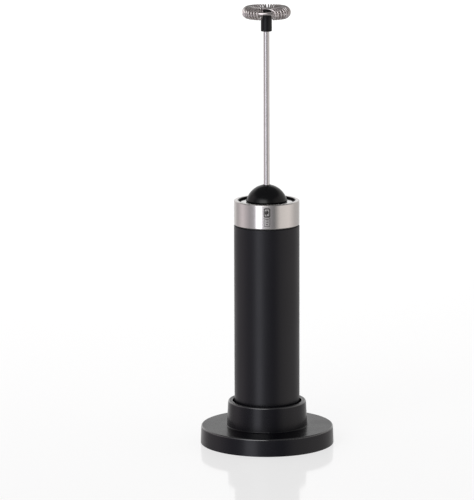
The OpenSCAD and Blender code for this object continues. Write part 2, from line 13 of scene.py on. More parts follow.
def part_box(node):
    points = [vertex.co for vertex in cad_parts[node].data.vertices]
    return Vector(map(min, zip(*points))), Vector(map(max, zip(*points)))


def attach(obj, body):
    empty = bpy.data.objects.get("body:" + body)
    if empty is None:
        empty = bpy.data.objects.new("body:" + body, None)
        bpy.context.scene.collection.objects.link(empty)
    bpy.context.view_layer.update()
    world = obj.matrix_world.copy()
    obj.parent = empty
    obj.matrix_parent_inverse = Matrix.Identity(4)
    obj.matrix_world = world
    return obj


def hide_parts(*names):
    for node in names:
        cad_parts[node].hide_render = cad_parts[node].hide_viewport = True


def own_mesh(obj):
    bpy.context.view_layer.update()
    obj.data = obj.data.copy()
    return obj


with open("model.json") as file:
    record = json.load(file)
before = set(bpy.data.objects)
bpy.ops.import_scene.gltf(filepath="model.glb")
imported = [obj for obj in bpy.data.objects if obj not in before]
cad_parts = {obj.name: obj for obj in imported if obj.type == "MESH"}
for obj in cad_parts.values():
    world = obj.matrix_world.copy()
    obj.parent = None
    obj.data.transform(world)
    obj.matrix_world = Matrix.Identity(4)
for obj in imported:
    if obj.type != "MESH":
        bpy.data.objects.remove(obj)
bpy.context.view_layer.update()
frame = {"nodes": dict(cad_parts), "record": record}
scene = bpy.context.scene
MM = 0.001


# ---- Camera ----

CAMERA_LENS = 260.5
CAMERA_SENSOR = 36.0
CAMERA_PLACE = Vector((-0.0151, -1.8032, 0.4370))
CAMERA_PITCH = radians(10.59)
CAMERA_ROLL = radians(-0.19)


def make_camera():
    data = bpy.data.cameras.new("camera")
    data.lens = CAMERA_LENS
    data.sensor_width = CAMERA_SENSOR
    data.clip_start = 0.01
    data.clip_end = 50
    camera = bpy.data.objects.new("camera", data)
    camera.rotation_mode = "QUATERNION"
    look = Vector((0, cos(CAMERA_PITCH), -sin(CAMERA_PITCH)))
    turn = look.to_track_quat("-Z", "Y").to_matrix() @ Matrix.Rotation(CAMERA_ROLL, 3, "Z")
    camera.rotation_quaternion = turn.to_quaternion()
    camera.location = CAMERA_PLACE
    scene.collection.objects.link(camera)
    scene.camera = camera


make_camera()
scene.view_settings.view_transform = "Standard"
scene.cycles.use_denoising = True


# ---- Light ----

# Brightness and tint of the studio's walls, by degrees from the camera: - is to its left
STUDIO_WALLS = [
    (-180, 0.90, (1.00, 1.00, 1.00)),
    (-150, 0.80, (1.00, 0.98, 0.98)),
    (-125, 0.50, (1.00, 0.95, 0.96)),
    (-95, 0.85, (1.00, 0.92, 0.95)),
    (-62, 0.40, (1.00, 0.95, 1.01)),
    (-42, 0.50, (0.98, 0.97, 1.03)),
    (-37, 2.20, (0.97, 0.97, 1.05)),
    (-20, 2.20, (0.97, 0.97, 1.05)),
    (-15, 0.55, (0.97, 0.97, 1.05)),
    (0, 0.42, (1.00, 0.98, 1.03)),
    (27, 0.21, (0.99, 0.99, 1.02)),
    (48, 0.85, (1.00, 0.96, 0.93)),
    (84, 0.95, (1.00, 0.95, 0.92)),
    (115, 0.60, (1.00, 0.97, 0.95)),
    (145, 0.55, (1.00, 0.98, 0.97)),
    (180, 0.90, (1.00, 1.00, 1.00)),
]
# The same for the band over the walls, where a wide soft box hangs in front
STUDIO_BAND = [
    (-180, 0.90, (1.00, 1.00, 1.00)),
    (-150, 0.80, (1.00, 0.98, 0.98)),
    (-125, 0.50, (1.00, 0.95, 0.96)),
    (-95, 0.70, (1.00, 0.92, 0.95)),
    (-70, 0.35, (1.00, 0.96, 1.00)),
    (-50, 1.20, (0.98, 0.97, 1.00)),
    (-35, 3.00, (0.98, 0.98, 1.00)),
    (-8, 3.00, (1.00, 1.00, 1.00)),
    (8, 0.40, (1.00, 1.00, 1.00)),
    (30, 0.22, (1.00, 1.00, 1.00)),
    (60, 0.60, (1.00, 0.96, 0.93)),
    (115, 0.60, (1.00, 0.97, 0.95)),
    (150, 0.60, (1.00, 0.98, 0.97)),
    (180, 0.90, (1.00, 1.00, 1.00)),
]
STUDIO_TOP = 0.16
STUDIO_BELOW = 0.35
# Where one zone gives way to the next, by a direction's height from -1 (down) to 1 (up)
WALLS_TO_BAND = (0.08, 0.2)
BAND_TO_TOP = (0.5, 0.7)
WALLS_TO_BELOW = (-0.45, -0.75)

FLOOR_HALF = 8.0
FLOOR_DROP = 0.03 * MM
FLOOR_GREY = (0.45, 0.45, 0.45)
FLOOR_GLOW = 0.65


def node(tree, kind, **settings):
    made = tree.nodes.new(kind)
    for name, value in settings.items():
        setattr(made, name, value)
    return made


def make_world():
    """A soft studio: tall light walls with darker gaps round the object, and plain white to the camera."""
    world = bpy.data.worlds.new("studio")
    world.use_nodes = True
    tree = world.node_tree
    tree.nodes.clear()
    link = tree.links.new
    split = node(tree, "ShaderNodeSeparateXYZ")
    link(node(tree, "ShaderNodeTexCoord").outputs["Generated"], split.inputs[0])
    front = node(tree, "ShaderNodeMath", operation="MULTIPLY")
    link(split.outputs["Y"], front.inputs[0])
    front.inputs[1].default_value = -1
    azimuth = node(tree, "ShaderNodeMath", operation="ARCTAN2")
    link(split.outputs["X"], azimuth.inputs[0])
    link(front.outputs[0], azimuth.inputs[1])
    turn = node(tree, "ShaderNodeMapRange")
    link(azimuth.outputs[0], turn.inputs["Value"])
    turn.inputs["From Min"].default_value = -pi
    turn.inputs["From Max"].default_value = pi

    def ring(levels):
        """The colour of one ring of the studio."""
        made = node(tree, "ShaderNodeValToRGB")
        while len(made.color_ramp.elements) < len(levels):
            made.color_ramp.elements.new(0.5)
        for stop, (degrees_round, level, tint) in zip(made.color_ramp.elements, levels):
            stop.position = degrees_round / 360 + 0.5
            stop.color = (*[level * share for share in tint], 1)
        link(turn.outputs[0], made.inputs[0])
        return made.outputs["Color"]

    def blended(below, above, low, high):
        """The first colour, giving way to the second as the direction's height goes from low to high."""
        rise = node(tree, "ShaderNodeMapRange", interpolation_type="SMOOTHSTEP")
        link(split.outputs["Z"], rise.inputs["Value"])
        rise.inputs["From Min"].default_value = low
        rise.inputs["From Max"].default_value = high
        mix = node(tree, "ShaderNodeMix", data_type="RGBA")
        link(rise.outputs[0], mix.inputs["Factor"])
        link(below, mix.inputs["A"])
        if isinstance(above, float):
            mix.inputs["B"].default_value = (above, above, above, 1)
        else:
            link(above, mix.inputs["B"])
        return mix.outputs["Result"]

    studio = blended(ring(STUDIO_WALLS), ring(STUDIO_BAND), *WALLS_TO_BAND)
    studio = blended(studio, STUDIO_TOP, *BAND_TO_TOP)
    studio = blended(studio, STUDIO_BELOW, *WALLS_TO_BELOW)
    lit = node(tree, "ShaderNodeBackground")
    link(studio, lit.inputs["Color"])
    plain = node(tree, "ShaderNodeBackground")
    plain.inputs["Color"].default_value = (1, 1, 1, 1)
    choice = node(tree, "ShaderNodeMixShader")
    link(node(tree, "ShaderNodeLightPath").outputs["Is Camera Ray"], choice.inputs[0])
    link(lit.outputs[0], choice.inputs[1])
    link(plain.outputs[0], choice.inputs[2])
    link(choice.outputs[0], node(tree, "ShaderNodeOutputWorld").inputs["Surface"])
    scene.world = world


def make_floor():
    """White gloss acrylic. Reflections on the object see the studio instead of it, as over a small table.

    From below it is clear, so that the object's underside shows.
    """
    mesh = bpy.data.meshes.new("floor")
    corners = ((-1, -1), (1, -1), (1, 1), (-1, 1))
    mesh.from_pydata([(FLOOR_HALF * x, FLOOR_HALF * y, -FLOOR_DROP) for x, y in corners], [], [(0, 1, 2, 3)])
    floor = bpy.data.objects.new("floor", mesh)
    scene.collection.objects.link(floor)
    look = Look("floor_acrylic", FLOOR_GREY, 0.06, ior=1.2)
    look.vary("Roughness", look.noise(0.25, 2), 0.05, 0.09)
    look.shader.inputs["Emission Color"].default_value = (1, 1, 1, 1)
    look.shader.inputs["Emission Strength"].default_value = FLOOR_GLOW
    side = node(look.tree, "ShaderNodeMixShader")
    look.tree.links.new(node(look.tree, "ShaderNodeNewGeometry").outputs["Backfacing"], side.inputs[0])
    look.tree.links.new(look.shader.outputs[0], side.inputs[1])
    look.tree.links.new(node(look.tree, "ShaderNodeBsdfTransparent").outputs[0], side.inputs[2])
    look.tree.links.new(side.outputs[0], look.tree.nodes["Material Output"].inputs["Surface"])
    mesh.materials.append(look.material)
    floor.visible_glossy = False
    floor.visible_shadow = False


# ---- Materials ----

class Look:
    """A node material. Its textures read the frame's own coordinates, so their sizes are in metres."""

    def __init__(self, name, colour, roughness, metallic=0.0, ior=1.5, anisotropic=0.0, coat=0.0,
                 coat_rough=0.1, coat_ior=1.5, sheen=0.0):
        self.material = bpy.data.materials.new(name)
        self.material.use_nodes = True
        self.tree = self.material.node_tree
        self.shader = self.tree.nodes["Principled BSDF"]
        self.normal = None
        values = {"Base Color": (*colour, 1), "Roughness": roughness, "Metallic": metallic, "IOR": ior,
                  "Anisotropic": anisotropic, "Coat Weight": coat, "Coat Roughness": coat_rough,
                  "Coat IOR": coat_ior, "Sheen Weight": sheen}
        for socket, value in values.items():
            self.shader.inputs[socket].default_value = value
        self.place = node(self.tree, "ShaderNodeTexCoord").outputs["Object"]

    def math(self, operation, a, b=None):
        made = node(self.tree, "ShaderNodeMath", operation=operation)
        for socket, value in zip(made.inputs, (a, b)):
            if value is None:
                continue
            if isinstance(value, (int, float)):
                socket.default_value = value
            else:
                self.tree.links.new(value, socket)
        return made.outputs[0]

    def axes(self):
        """The X, Y and Z of a point."""
        split = node(self.tree, "ShaderNodeSeparateXYZ")
        self.tree.links.new(self.place, split.inputs[0])
        return split.outputs

    def radius(self):
        """A point's distance from the Z axis."""
        x, y, _ = self.axes()
        return self.math("SQRT", self.math("ADD", self.math("MULTIPLY", x, x), self.math("MULTIPLY", y, y)))

    def noise(self, size, detail=2.0, stretch=(1, 1, 1)):
        """Noise with features of the given size, drawn out by stretch along each axis."""
        mapping = node(self.tree, "ShaderNodeMapping")
        mapping.inputs["Scale"].default_value = [1 / (size * s) for s in stretch]
        self.tree.links.new(self.place, mapping.inputs["Vector"])
        made = node(self.tree, "ShaderNodeTexNoise")
        made.inputs["Scale"].default_value = 1
        made.inputs["Detail"].default_value = detail
        self.tree.links.new(mapping.outputs[0], made.inputs["Vector"])
        return made.outputs["Fac"]

    def line_noise(self, value, size, detail=2.0):
        """Noise that changes with one value only, such as the height or the radius of a turned face."""
        made = node(self.tree, "ShaderNodeTexNoise", noise_dimensions="1D")
        made.inputs["Scale"].default_value = 1 / size
        made.inputs["Detail"].default_value = detail
        self.tree.links.new(value, made.inputs["W"])
        return made.outputs["Fac"]

    def span(self, value, low, high):
        """0 below low and 1 above high."""
        made = node(self.tree, "ShaderNodeMapRange")
        self.tree.links.new(value, made.inputs["Value"])
        made.inputs["From Min"].default_value = low
        made.inputs["From Max"].default_value = high
        return made.outputs[0]

    def vary(self, socket, value, low, high, value_low=0.3, value_high=0.7):
        """Drives a plain number of the shader from low to high."""
        made = node(self.tree, "ShaderNodeMapRange")
        self.tree.links.new(value, made.inputs["Value"])
        limits = {"From Min": value_low, "From Max": value_high, "To Min": low, "To Max": high}
        for name, number in limits.items():
            made.inputs[name].default_value = number
        self.tree.links.new(made.outputs[0], self.shader.inputs[socket])

    def tint(self, factor, a, b):
        """Drives the colour from a, or from the colour so far, to b."""
        mix = node(self.tree, "ShaderNodeMix", data_type="RGBA")
        self.tree.links.new(factor, mix.inputs["Factor"])
        colour = self.shader.inputs["Base Color"]
        if a is None and colour.is_linked:
            self.tree.links.new(colour.links[0].from_socket, mix.inputs["A"])
        else:
            mix.inputs["A"].default_value = colour.default_value if a is None else (*a, 1)
        mix.inputs["B"].default_value = (*b, 1)
        self.tree.links.new(mix.outputs["Result"], colour)

    def bump(self, height, depth):
        """Adds relief of the given depth in metres."""
        made = node(self.tree, "ShaderNodeBump")
        made.inputs["Strength"].default_value = 1
        made.inputs["Distance"].default_value = depth
        self.tree.links.new(height, made.inputs["Height"])
        if self.normal is not None:
            self.tree.links.new(self.normal, made.inputs["Normal"])
        self.normal = made.outputs[0]
        self.tree.links.new(self.normal, self.shader.inputs["Normal"])

    def grain_round(self, turn):
        """Stretches the gloss round the Z axis, or along it with turn = 0.25."""
        made = node(self.tree, "ShaderNodeTangent", direction_type="RADIAL", axis="Z")
        self.tree.links.new(made.outputs[0], self.shader.inputs["Tangent"])
        self.shader.inputs["Anisotropic Rotation"].default_value = turn


DUST = (0.12, 0.12, 0.12)
FOOT_TOP = 9.2 * MM     # height of the flat top of the stand's foot
EDGE = 0.9 * MM         # how far the roundings of the stand's edges reach


def shaded(colour, share):
    return tuple(share * c for c in colour)


def as_moulded(look, colour, rough_low, rough_high, grain, depth):
    """Gives a look fine spark-eroded grain, slow changes of gloss and faint dust."""
    look.tint(look.noise(9 * MM, 4), shaded(colour, 0.8), shaded(colour, 1.25))
    look.tint(look.span(look.noise(0.5 * MM, 5), 0.72, 0.8), None, DUST)
    look.vary("Roughness", look.noise(14 * MM, 5), rough_low, rough_high)
    look.bump(look.noise(grain, 3), depth)


def moulded(name, colour, rough_low, rough_high, grain=0.12 * MM, depth=0.004 * MM, ior=1.5):
    """Moulded plastic."""
    look = Look(name, colour, rough_low, ior=ior)
    as_moulded(look, colour, rough_low, rough_high, grain, depth)
    return look.material


def polished_edges(name, colour):
    """The stand's satin plastic. The top edges of its foot and cup are polished and catch the light."""
    look = Look(name, colour, 0.27, ior=1.35, coat_rough=0.08, coat_ior=2.1)
    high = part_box("stand_shell")[1]
    z = look.axes()[2]

    def edge_below(top):
        """1 on the rounding under a flat top at the given height, and 0 on the flat itself."""
        up_to_flat = look.span(z, top - 0.9 * EDGE, top - 0.5 * EDGE)
        on_flat = look.span(z, top - 0.1 * EDGE, top)
        return look.math("SUBTRACT", up_to_flat, on_flat)

    rim = look.span(look.radius(), high.x - 1.5 * EDGE, high.x - EDGE)
    foot = look.math("MULTIPLY", edge_below(FOOT_TOP), rim)
    look.vary("Coat Weight", look.math("MAXIMUM", foot, edge_below(high.z)), 0, 1, 0, 1)
    as_moulded(look, colour, 0.24, 0.30, 0.12 * MM, 0.002 * MM)
    return look.material


def soft_touch(name, colour):
    """Matt lacquer over the battery tube: an even, very fine tooth with slightly polished patches."""
    look = Look(name, colour, 0.36, ior=1.39)
    look.tint(look.noise(20 * MM, 3), shaded(colour, 0.85), shaded(colour, 1.2))
    look.vary("Roughness", look.noise(17 * MM, 4, (1, 1, 1.8)), 0.33, 0.40)
    look.bump(look.noise(0.09 * MM, 2), 0.003 * MM)
    look.bump(look.noise(2.5 * MM, 2), 0.002 * MM)
    return look.material


def brushed(name, colour):
    """Steel brushed round the Z axis: hair lines run round it, and the gloss spreads across them."""
    look = Look(name, colour, 0.24, metallic=1.0, anisotropic=0.75)
    look.grain_round(0.25)
    height = look.axes()[2]
    hair = look.line_noise(height, 0.06 * MM, 4)
    streak = look.noise(1.1 * MM, 4, (6, 6, 0.12))
    look.tint(hair, shaded(colour, 0.95), shaded(colour, 1.05))
    look.tint(look.span(streak, 0.62, 0.75), None, shaded(colour, 0.9))
    look.vary("Roughness", streak, 0.21, 0.27)
    look.bump(hair, 0.0004 * MM)
    look.bump(streak, 0.0005 * MM)
    return look.material


def turned_steel(name, colour, rough, across="z"):
    """Polished or ground bar: faint turning lines up the bar, or in rings across a face."""
    look = Look(name, colour, rough, metallic=1.0)
    line = look.line_noise(look.axes()[2] if across == "z" else look.radius(), 0.11 * MM, 3)
    look.tint(look.noise(6 * MM, 3), shaded(colour, 0.93), shaded(colour, 1.05))
    look.vary("Roughness", line, rough * 0.75, rough * 1.35)
    look.bump(line, 0.0006 * MM)
    return look.material


def plated(name, colour, rough):
    """Zinc or nickel plating with a soft mottle and a few rubbed spots."""
    look = Look(name, colour, rough, metallic=1.0)
    look.tint(look.noise(1.6 * MM, 5), shaded(colour, 0.8), shaded(colour, 1.1))
    look.tint(look.span(look.noise(0.7 * MM, 5), 0.66, 0.74), None, shaded(colour, 0.6))
    look.vary("Roughness", look.noise(1.1 * MM, 4), rough * 0.7, rough * 1.4)
    look.bump(look.noise(0.3 * MM, 3), 0.004 * MM)
    return look.material


def cast(name, colour):
    """Rough cast iron or sintered magnet."""
    look = Look(name, colour, 0.6, metallic=0.6)
    look.tint(look.noise(0.9 * MM, 6), shaded(colour, 0.6), shaded(colour, 1.4))
    look.vary("Roughness", look.noise(0.5 * MM, 3), 0.5, 0.8)
    look.bump(look.noise(0.35 * MM, 5), 0.03 * MM)
    return look.material


def rubber(name, colour, pit=0.3 * MM):
    """Moulded rubber or foam with fine pits and a bloom on its surface."""
    look = Look(name, colour, 0.7, sheen=0.15)
    look.tint(look.noise(4 * MM, 4), shaded(colour, 0.75), shaded(colour, 1.3))
    look.vary("Roughness", look.noise(2 * MM, 3), 0.6, 0.85)
    look.bump(look.noise(pit, 4), 0.02 * MM)
    return look.material


def sintered(name, colour):
    """Oil-filled bronze bush: a warm metal with small dark pores."""
    look = Look(name, colour, 0.35, metallic=1.0)
    look.tint(look.noise(1.2 * MM, 4), shaded(colour, 0.85), shaded(colour, 1.15))
    look.tint(look.span(look.noise(0.12 * MM, 3), 0.6, 0.7), None, shaded(colour, 0.35))
    look.vary("Roughness", look.noise(0.4 * MM, 3), 0.25, 0.5)
    look.bump(look.noise(0.12 * MM, 3), 0.005 * MM)
    return look.material


def laminated(name, colour):
    """A stack of thin steel sheets: a line between one sheet and the next."""
    sheet = 0.35 * MM
    look = Look(name, colour, 0.4, metallic=0.9)
    wave = look.math("FRACT", look.math("DIVIDE", look.axes()[2], sheet))
    gap = look.span(wave, 0.86, 0.93)
    look.tint(look.noise(1.5 * MM, 4), shaded(colour, 0.8), shaded(colour, 1.2))
    look.tint(gap, None, shaded(colour, 0.2))
    look.bump(look.math("SUBTRACT", 1, gap), 0.03 * MM)
    return look.material


def enamelled(name, colour):
    """Enamelled copper: a clear amber coat over bright wire."""
    look = Look(name, colour, 0.25, metallic=0.85, coat=0.6)
    look.tint(look.noise(1.0 * MM, 3), shaded(colour, 0.8), shaded(colour, 1.25))
    look.vary("Roughness", look.noise(0.8 * MM, 3), 0.18, 0.35)
    return look.material


def sheathed(name, colour):
    """The soft vinyl of a hook-up wire."""
    look = Look(name, colour, 0.4)
    look.tint(look.noise(1.5 * MM, 3), shaded(colour, 0.8), shaded(colour, 1.2))
    look.vary("Roughness", look.noise(1.2 * MM, 3), 0.32, 0.48)
    look.bump(look.noise(0.4 * MM, 2), 0.005 * MM)
    return look.material


SILVER = (0.62, 0.63, 0.65)
ORANGE = (0.85, 0.45, 0.10)


def foil_label(name, colour, base, height, negative_low):
    """The printed foil of a dry cell: a broad coloured field with a silver band and three fine lines."""
    look = Look(name, colour, 0.22, metallic=0.75, coat=0.5, coat_rough=0.08)
    up = look.math("DIVIDE", look.math("SUBTRACT", look.axes()[2], base), height)
    if not negative_low:
        up = look.math("SUBTRACT", 1, up)
    look.tint(look.noise(12 * MM, 3), shaded(colour, 0.85), shaded(colour, 1.15))
    for low, high, shade in ((0.70, 0.86, SILVER), (0.655, 0.67, SILVER), (0.88, 0.888, ORANGE),
                             (0.12, 0.128, SILVER)):
        inside = look.math("MULTIPLY", look.math("GREATER_THAN", up, low), look.math("LESS_THAN", up, high))
        look.tint(inside, None, shade)
    look.vary("Roughness", look.noise(5 * MM, 4), 0.18, 0.3)
    return look.material


BLACK = (0.0022, 0.0021, 0.0042)
STEEL = (0.66, 0.635, 0.62)
LOOKS = {
    "stand_plastic": polished_edges("stand_plastic", BLACK),
    "weight_steel": cast("weight_steel", (0.16, 0.16, 0.17)),
    "foot_rubber": rubber("foot_rubber", (0.018, 0.018, 0.018)),
    "tube_plastic": soft_touch("tube_plastic", BLACK),
    "screw_steel": plated("screw_steel", (0.6, 0.6, 0.6), 0.28),
    "inner_plastic": moulded("inner_plastic", (0.72, 0.70, 0.65), 0.35, 0.45),
    "chassis_plastic": moulded("chassis_plastic", (0.012, 0.012, 0.014), 0.4, 0.5),
    "button_plastic": moulded("button_plastic", (0.22, 0.22, 0.23), 0.35, 0.45),
    "spring_steel": turned_steel("spring_steel", (0.58, 0.57, 0.56), 0.22),
    "collar_steel": brushed("collar_steel", STEEL),
    "bezel_plastic": moulded("bezel_plastic", (0.002, 0.002, 0.002), 0.3, 0.4, depth=0.002 * MM, ior=1.25),
    "deck_chrome": turned_steel("deck_chrome", (0.80, 0.79, 0.78), 0.12, across="r"),
    "dome_plastic": moulded("dome_plastic", (0.004, 0.004, 0.0046), 0.17, 0.22, grain=0.4 * MM,
                            depth=0.002 * MM, ior=1.34),
    "bronze": sintered("bronze", (0.62, 0.42, 0.22)),
    "seal_rubber": rubber("seal_rubber", (0.16, 0.05, 0.04)),
    "cushion_foam": rubber("cushion_foam", (0.05, 0.05, 0.05), pit=0.5 * MM),
    "can_steel": plated("can_steel", (0.62, 0.62, 0.6), 0.25),
    "magnet": cast("magnet", (0.05, 0.05, 0.05)),
    "contact_brass": plated("contact_brass", (0.75, 0.55, 0.26), 0.25),
    "contact_steel": plated("contact_steel", (0.68, 0.67, 0.65), 0.2),
    "switch_plastic": moulded("switch_plastic", (0.012, 0.012, 0.012), 0.3, 0.4),
    "lead_red": sheathed("lead_red", (0.42, 0.02, 0.018)),
    "lead_black": sheathed("lead_black", (0.012, 0.012, 0.012)),
    "core_steel": laminated("core_steel", (0.32, 0.32, 0.34)),
    "copper": enamelled("copper", (0.72, 0.28, 0.1)),
    "shaft_steel": turned_steel("shaft_steel", (0.60, 0.58, 0.58), 0.2),
    "hub_plastic": moulded("hub_plastic", (0.004, 0.004, 0.0048), 0.3, 0.38, ior=1.31),
    "coil_steel": turned_steel("coil_steel", (0.60, 0.56, 0.55), 0.05),
}


def dress_frame():
    """Gives every CAD node the material of its slot."""
    for part in frame["record"]["subparts"]:
        found = frame["nodes"][part["node"]]
        for place in found.material_slots:
            place.material = LOOKS.get(part["material_slot"], place.material)


# ---- Mesh building ----

def make_piece(name, points, faces, looks, body, stands_for=(), crease=32, look_of=None):
    """A mesh piece that rides on a body. look_of gives each face's place in looks."""
    mesh = bpy.data.meshes.new(name)
    mesh.from_pydata([tuple(p) for p in points], [], faces)
    mesh.validate()
    for look in looks:
        mesh.materials.append(look)
    if look_of is not None:
        mesh.polygons.foreach_set("material_index", look_of)
    mesh.shade_smooth()
    mesh.set_sharp_from_angle(angle=radians(crease))
    made = bpy.data.objects.new(name, mesh)
    scene.collection.objects.link(made)
    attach(made, body)
    if stands_for:
        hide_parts(*stands_for)
    return made


def joined(parts):
    """Several (points, faces) meshes as one."""
    points, faces = [], []
    for more_points, more_faces in parts:
        start = len(points)
        points += more_points
        faces += [tuple(start + i for i in face) for face in more_faces]
    return points, faces


def round_section(r, sides):
    return [(r * cos(2 * pi * k / sides), r * sin(2 * pi * k / sides)) for k in range(sides)]


def swept(path, asides, section, closed=False, scales=None):
    """A section carried along a path.

    asides gives the direction of the section's first axis at each point of the path.
    """
    count, sides = len(path), len(section)
    points = []
    for i, centre in enumerate(path):
        before = path[i - 1] if closed or i else path[0]
        after = path[(i + 1) % count] if closed or i < count - 1 else path[-1]
        along = (after - before).normalized()
        u = (asides[i] - asides[i].dot(along) * along).normalized()
        v = along.cross(u)
        scale = scales[i] if scales else 1
        points += [centre + scale * (a * u + b * v) for a, b in section]
    faces = []
    for i in range(count if closed else count - 1):
        j = (i + 1) % count
        for k in range(sides):
            m = (k + 1) % sides
            faces.append((i * sides + k, i * sides + m, j * sides + m, j * sides + k))
    if not closed:
        faces.append(tuple(reversed(range(sides))))
        faces.append(tuple(range((count - 1) * sides, count * sides)))
    return points, faces


CAP_STEPS = 4
CAP_REACH = 0.96        # share of a quarter circle in a wire's rounded end, which leaves a small flat tip


def round_wire(path, asides, r, sides=14, closed=False):
    """A wire with rounded ends, or a closed loop of wire."""
    if closed:
        return swept(path, asides, round_section(r, sides), True)
    first = (path[1] - path[0]).normalized()
    last = (path[-1] - path[-2]).normalized()
    angles = [pi / 2 * (1 - k / CAP_STEPS) * CAP_REACH for k in range(CAP_STEPS)]
    shrink = [cos(a) for a in angles]
    inset = [r * (1 - sin(a)) for a in angles]
    head = [path[0] + first * d for d in inset]
    tail = [path[-1] - last * d for d in reversed(inset)]
    between = [i for i, p in enumerate(path)
               if 0 < i < len(path) - 1 and (p - path[0]).length > r and (p - path[-1]).length > r]
    full = head + [path[0] + first * r] + [path[i] for i in between] + [path[-1] - last * r] + tail
    asides_at = [asides[i] for i in between]
    asides_at = [asides[0]] * (CAP_STEPS + 1) + asides_at + [asides[-1]] * (CAP_STEPS + 1)
    scales = shrink + [1] * (len(between) + 2) + shrink[::-1]
    return swept(full, asides_at, round_section(r, sides), scales=scales)


def flat_section(thick, width):
    """The section of a flat strip."""
    t, w = thick / 2, width / 2
    return [(-t, -w), (t, -w), (t, w), (-t, w)]


def arc(x, z, r, start, end, steps=6):
    """Points (radius, height) of an arc, its angles in degrees."""
    angles = [radians(start + (end - start) * k / steps) for k in range(steps + 1)]
    return [(x + r * cos(a), z + r * sin(a)) for a in angles]


def turned(outline, centre=Vector((0, 0, 0)), steps=96):
    """A closed outline of (radius, height) turned about an upright axis. It starts and ends on the axis."""
    inner = outline[1:-1]
    rows = len(inner)
    points = [centre + Vector((r * cos(2 * pi * k / steps), r * sin(2 * pi * k / steps), z))
              for k in range(steps) for r, z in inner]
    low = len(points)
    points += [centre + Vector((0, 0, outline[0][1])), centre + Vector((0, 0, outline[-1][1]))]
    faces = []
    for k in range(steps):
        a, b = k * rows, (k + 1) % steps * rows
        faces.append((low, b, a))
        faces += [(a + i, b + i, b + i + 1, a + i + 1) for i in range(rows - 1)]
        faces.append((a + rows - 1, b + rows - 1, low + 1))
    return points, faces


# ---- Whisk ----

COIL_WIRE = 0.75 * MM
# In degrees round the ring: from turn to turn, how far a turn may be off, where the coil's two ends
# are joined, from the front, and the room left for a spoke
COIL_PITCH = 9
COIL_SLACK = 1.2
COIL_ENDS = (-19, 24)
SPOKE_GAP = 21
COIL_STEPS = 40


def smooth(t):
    """0 up to 0 and 1 from 1 on, with a soft rise between."""
    t = max(0.0, min(1.0, t))
    return t * t * (3 - 2 * t)


def coil_turns():
    """The start and the span, in degrees from the front, of every turn of the coil round its ring.

    Where a turn starts is off by up to COIL_SLACK, because the coil is sprung on to its hoop by hand.
    """
    def even(a, b):
        return a, b, round((b - a) / COIL_PITCH)

    half = SPOKE_GAP / 2
    first, last = COIL_ENDS
    runs = [(first, last, 1), even(last, 90 - half), (90 - half, 90 + half, 1), even(90 + half, 270 - half),
            (270 - half, 270 + half, 1), even(270 + half, 360 + first)]
    starts = [a + k * (b - a) / n for a, b, n in runs for k in range(n)]
    starts = [start + COIL_SLACK * sin(2.4 * k * k) for k, start in enumerate(starts)]
    ends = starts[1:] + [starts[0] + 360]
    return [(start, end - start) for start, end in zip(starts, ends)]


def stretched(t):
    """The share of its span that the stretched turn has covered at t: it crosses while over the top."""
    return 0.14 * t + 0.86 * smooth((t - 0.08) / 0.36)


def make_coil():
    """The coil: each turn goes from the ring's inner side over its top. The first is stretched."""
    low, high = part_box("whisk_coil")
    middle_z = (low.z + high.z) / 2
    coil_r = (high.z - low.z - COIL_WIRE) / 2
    ring_r = high.x - (high.z - low.z) / 2
    path, asides = [], []
    for number, (start, span) in enumerate(coil_turns()):
        for i in range(COIL_STEPS):
            t = i / COIL_STEPS
            share = stretched(t) if number == 0 else t
            about = radians(start + span * share - 90)
            up = radians(180 - 360 * t)
            outward = Vector((cos(up) * cos(about), cos(up) * sin(about), sin(up)))
            asides.append(outward)
            path.append(Vector((ring_r * cos(about), ring_r * sin(about), middle_z)) + coil_r * outward)
    points, faces = round_wire(path, asides, COIL_WIRE / 2, 12, closed=True)
    make_piece("coil_wire", points, faces, [LOOKS["coil_steel"]], "whisk", ["whisk_coil"],
               crease=80)


# ---- Springs and leads ----

SPRING_WIRE = 0.25 * MM
SPRING_STEPS = 32       # points of one turn


def make_spring(name, standing_for, body, x, r_low, r_high, turns):
    """A compression spring whose end turns lie nearly flat."""
    low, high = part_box(standing_for)
    steps = SPRING_STEPS * turns
    rise = high.z - low.z - 2 * SPRING_WIRE
    path, asides = [], []
    for i in range(steps + 1):
        t = i / steps
        a = 2 * pi * turns * t
        r = r_low + (r_high - r_low) * t
        asides.append(Vector((cos(a), sin(a), 0)))
        path.append(Vector((x + r * cos(a), r * sin(a), low.z + SPRING_WIRE + rise * smooth(t))))
    points, faces = round_wire(path, asides, SPRING_WIRE, 12)
    return make_piece(name, points, faces, [LOOKS["spring_steel"]], body, [standing_for],
                      crease=50)


LEAD_RADIUS = 0.55 * MM
LEAD_BARE = 1.1 * MM     # length stripped at each end
DROP_STEPS = 10
# The routes of the leads' middles, in millimetres
RED_ROUTE = [(2.4, 2.5, 22.2), (2.4, 5.5, 22), (2.4, 9, 22.5), (2.4, 10.5, 27), (2.4, 10.5, 50),
             (2.4, 10.5, 76), (2.4, 10.5, 82.2), (4.4, 6.5, 82.6), (6.5, 3, 83.1), (6.5, 0.3, 83.1)]
BLACK_ROUTE = [(-3.6, 4.4, 22), (-3.2, 7, 22), (-2.4, 9.2, 23), (-2.4, 10.5, 27), (-2.4, 10.5, 50),
               (-2.4, 10.5, 76), (-2.4, 10.5, 82.2), (-4.4, 6.5, 82.6), (-6.5, 3, 83.1), (-6.5, 0.3, 83.1)]


def eased(points, rounds=4):
    """A route with its corners cut several times."""
    for _ in range(rounds):
        cut = [points[0]]
        for a, b in zip(points, points[1:]):
            cut += [a.lerp(b, 0.25), a.lerp(b, 0.75)]
        points = cut + [points[-1]]
    return points


